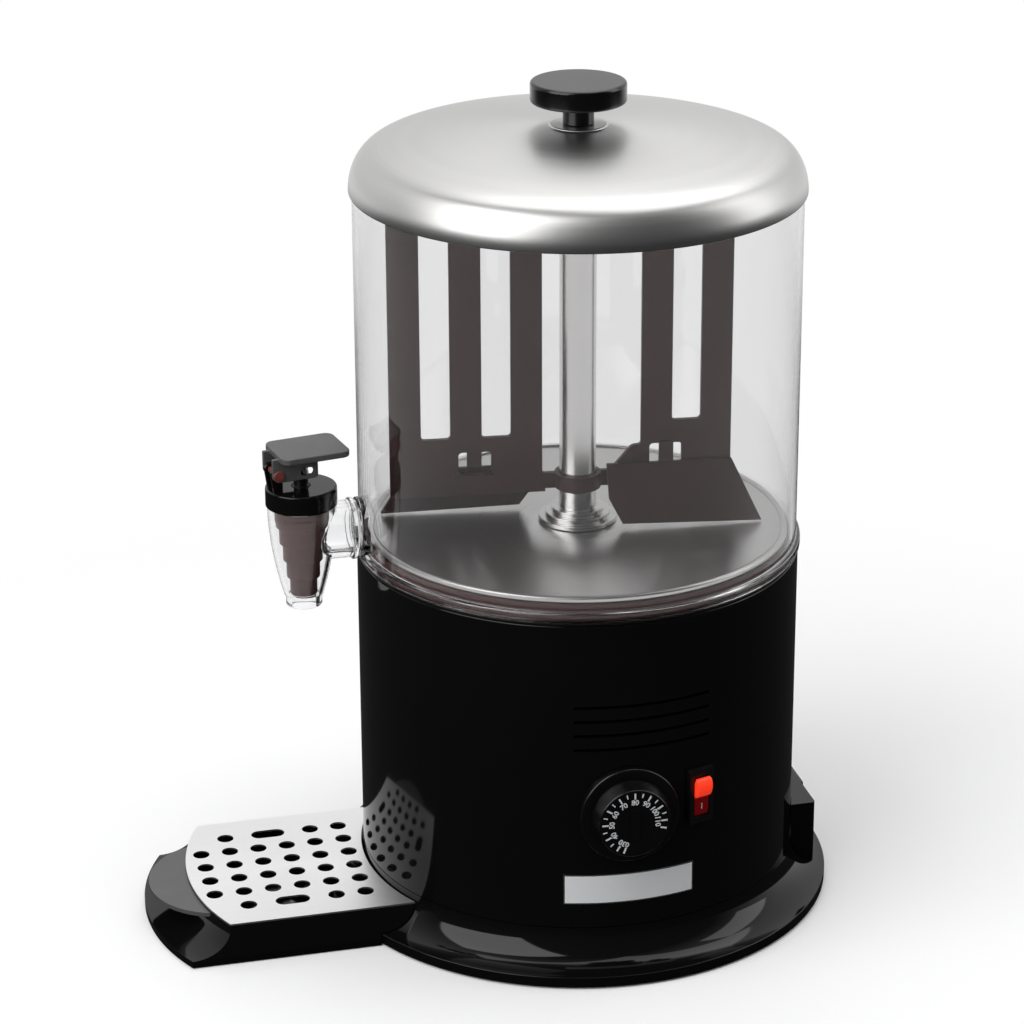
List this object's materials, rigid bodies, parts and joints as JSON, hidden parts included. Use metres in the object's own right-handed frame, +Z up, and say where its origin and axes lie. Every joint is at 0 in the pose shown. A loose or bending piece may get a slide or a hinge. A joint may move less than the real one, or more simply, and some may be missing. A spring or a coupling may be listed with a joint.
{
  "type": "hot chocolate dispenser",
  "caption": "Heated drink dispenser: clear round jar with a stirrer on a black drum base, steel lid, lever tap, control panel and pull-out drip tray.",
  "frame": {"origin": "middle of the machine's footprint, on the table", "axes": "+Z up; the tap and drip tray face -Y, the control panel faces +X and the power inlet faces +Y"},
  "size_m": [0.2824, 0.3874, 0.461],
  "materials": {
    "black_gloss": "polished",
    "black_satin": "satin",
    "brushed_steel": "brushed",
    "plain_steel": "plain",
    "brass": "machined",
    "clear_plastic": "clear polished plastic",
    "brown_plastic": "satin",
    "brown_silicone": "moulded silicone",
    "black_rubber": "matt",
    "red_lens": "translucent",
    "blank_label": "plain"
  },
  "bodies": {
    "machine": {"base_skirt": "black_gloss", "bottom_plate": "plain_steel", "foot_1": "black_rubber", "foot_2": "black_rubber", "foot_3": "black_rubber", "foot_4": "black_rubber", "base_screw_1": "plain_steel", "base_screw_2": "plain_steel", "base_screw_3": "plain_steel", "base_screw_4": "plain_steel", "housing_shell": "black_gloss", "deck_ring": "black_satin", "bath_vessel": "plain_steel", "heating_element": "plain_steel", "heater_plate": "brushed_steel", "plate_gasket": "brown_silicone", "centre_flange": "brushed_steel", "column_tube": "brushed_steel", "lower_bush": "brass", "upper_bush": "brass", "column_seal": "black_rubber", "column_nut": "brass", "motor_plate": "plain_steel", "gearbox": "plain_steel", "motor": "black_satin", "jar": "clear_plastic", "stem_seal": "clear_plastic", "tap_body": "clear_plastic", "tap_cap": "black_gloss", "lever_pin": "brown_silicone", "dial_bezel": "black_gloss", "thermostat_body": "black_satin", "switch_body": "black_satin", "blank_plate": "blank_label", "terminal_box": "black_gloss", "power_inlet": "black_satin", "terminal_block": "blank_label"},
    "lid": {"lid": "brushed_steel", "lid_seat_ring": "black_satin", "lid_knob": "black_gloss", "knob_washer": "plain_steel", "knob_screw": "plain_steel"},
    "stirrer": {"drive_shaft": "plain_steel", "shaft_coupling": "brass", "gearbox_output_shaft": "plain_steel", "stirrer_frame": "brown_plastic", "scraper_blade_short_wing": "brown_plastic", "scraper_blade_long_wing": "brown_plastic"},
    "tap_lever": {"tap_lever": "black_gloss"},
    "plunger": {"tap_plunger": "black_satin", "lift_pin": "plain_steel", "tap_bellows": "brown_silicone"},
    "dial": {"thermostat_dial": "black_satin", "thermostat_spindle": "plain_steel"},
    "rocker": {"switch_rocker": "red_lens"},
    "tray": {"drip_tray": "black_gloss"},
    "drip_plate": {"drip_plate": "brushed_steel"}
  },
  "joints": [
    {"name": "lid_lift", "type": "slide", "parent": "machine", "child": "lid", "axis": [0, 0, 1], "range_m": [0, 0.2]},
    {"name": "stirrer_turn", "type": "hinge", "parent": "machine", "child": "stirrer", "pos_m": [0, 0.0525, 0.3], "axis": [0, 0, 1], "continuous": true},
    {"name": "lever_lift", "type": "hinge", "parent": "machine", "child": "tap_lever", "pos_m": [0.00269, -0.11576, 0.259], "axis": [0.9848, 0.1736, 0], "range_deg": [0, 25]},
    {"name": "plunger_lift", "type": "slide", "parent": "machine", "child": "plunger", "axis": [0, 0, 1], "range_m": [0, 0.00698], "stiffness_N_per_m": 20, "springref_m": -0.005},
    {"name": "dial_turn", "type": "hinge", "parent": "machine", "child": "dial", "pos_m": [0.12116, 0.04933, 0.0935], "axis": [0.9997, -0.0262, 0], "range_deg": [-270, 0]},
    {"name": "rocker_tip", "type": "hinge", "parent": "machine", "child": "rocker", "pos_m": [0.11706, 0.09009, 0.0972], "axis": [-0.3057, 0.9521, 0], "range_deg": [-18, 0]},
    {"name": "tray_pull", "type": "slide", "parent": "machine", "child": "tray", "axis": [0, -1, 0], "range_m": [0, 0.15]},
    {"name": "drip_plate_lift", "type": "slide", "parent": "tray", "child": "drip_plate", "axis": [0, 0, 1], "range_m": [0, 0.06]}
  ],
  "couplings": [
    {"joint": "lever_lift", "follows": "plunger_lift", "rad_per_m": 62.5}
  ]
}
